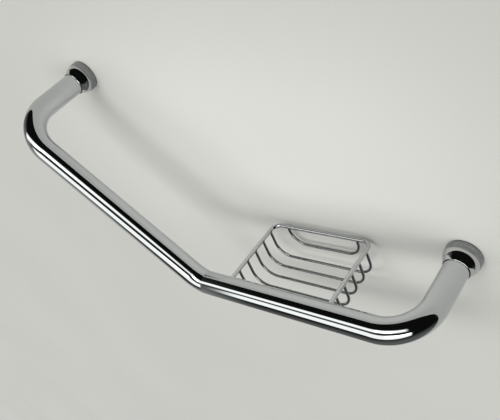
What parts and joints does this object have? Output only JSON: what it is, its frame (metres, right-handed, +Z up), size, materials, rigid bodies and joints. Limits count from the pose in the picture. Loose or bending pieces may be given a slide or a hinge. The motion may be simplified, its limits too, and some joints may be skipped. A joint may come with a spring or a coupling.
{
  "type": "grab bar",
  "caption": "Angled chrome wall grab bar: a bent tube on round screwed feet, a slanted run joining a level run that carries a wire soap basket behind it.",
  "frame": {"origin": "axis of the left foot where its back face meets the wall", "axes": "+X right along the wall, +Y into the wall, +Z up"},
  "size_m": [0.4615, 0.1575, 0.2458],
  "materials": {
    "chrome": "polished chrome plate",
    "brass": "turned brass",
    "screw_steel": "zinc-plated steel",
    "rubber": "smooth black rubber",
    "nylon": "grey moulded nylon"
  },
  "bodies": {
    "root": {"bar_tube": "chrome", "left_gasket": "rubber", "left_boss": "chrome", "left_cover_ring": "chrome", "left_end_bush": "brass", "left_grub_screw": "screw_steel", "left_washer": "screw_steel", "left_wall_screw": "screw_steel", "left_wall_plug": "nylon", "right_gasket": "rubber", "right_boss": "chrome", "right_cover_ring": "chrome", "right_end_bush": "brass", "right_grub_screw": "screw_steel", "right_washer": "screw_steel", "right_wall_screw": "screw_steel", "right_wall_plug": "nylon", "basket_frame": "chrome", "basket_rib_1": "chrome", "basket_rib_2": "chrome", "basket_rib_3": "chrome", "basket_rib_4": "chrome", "basket_rib_5": "chrome", "basket_back_guard": "chrome"}
  },
  "joints": []
}
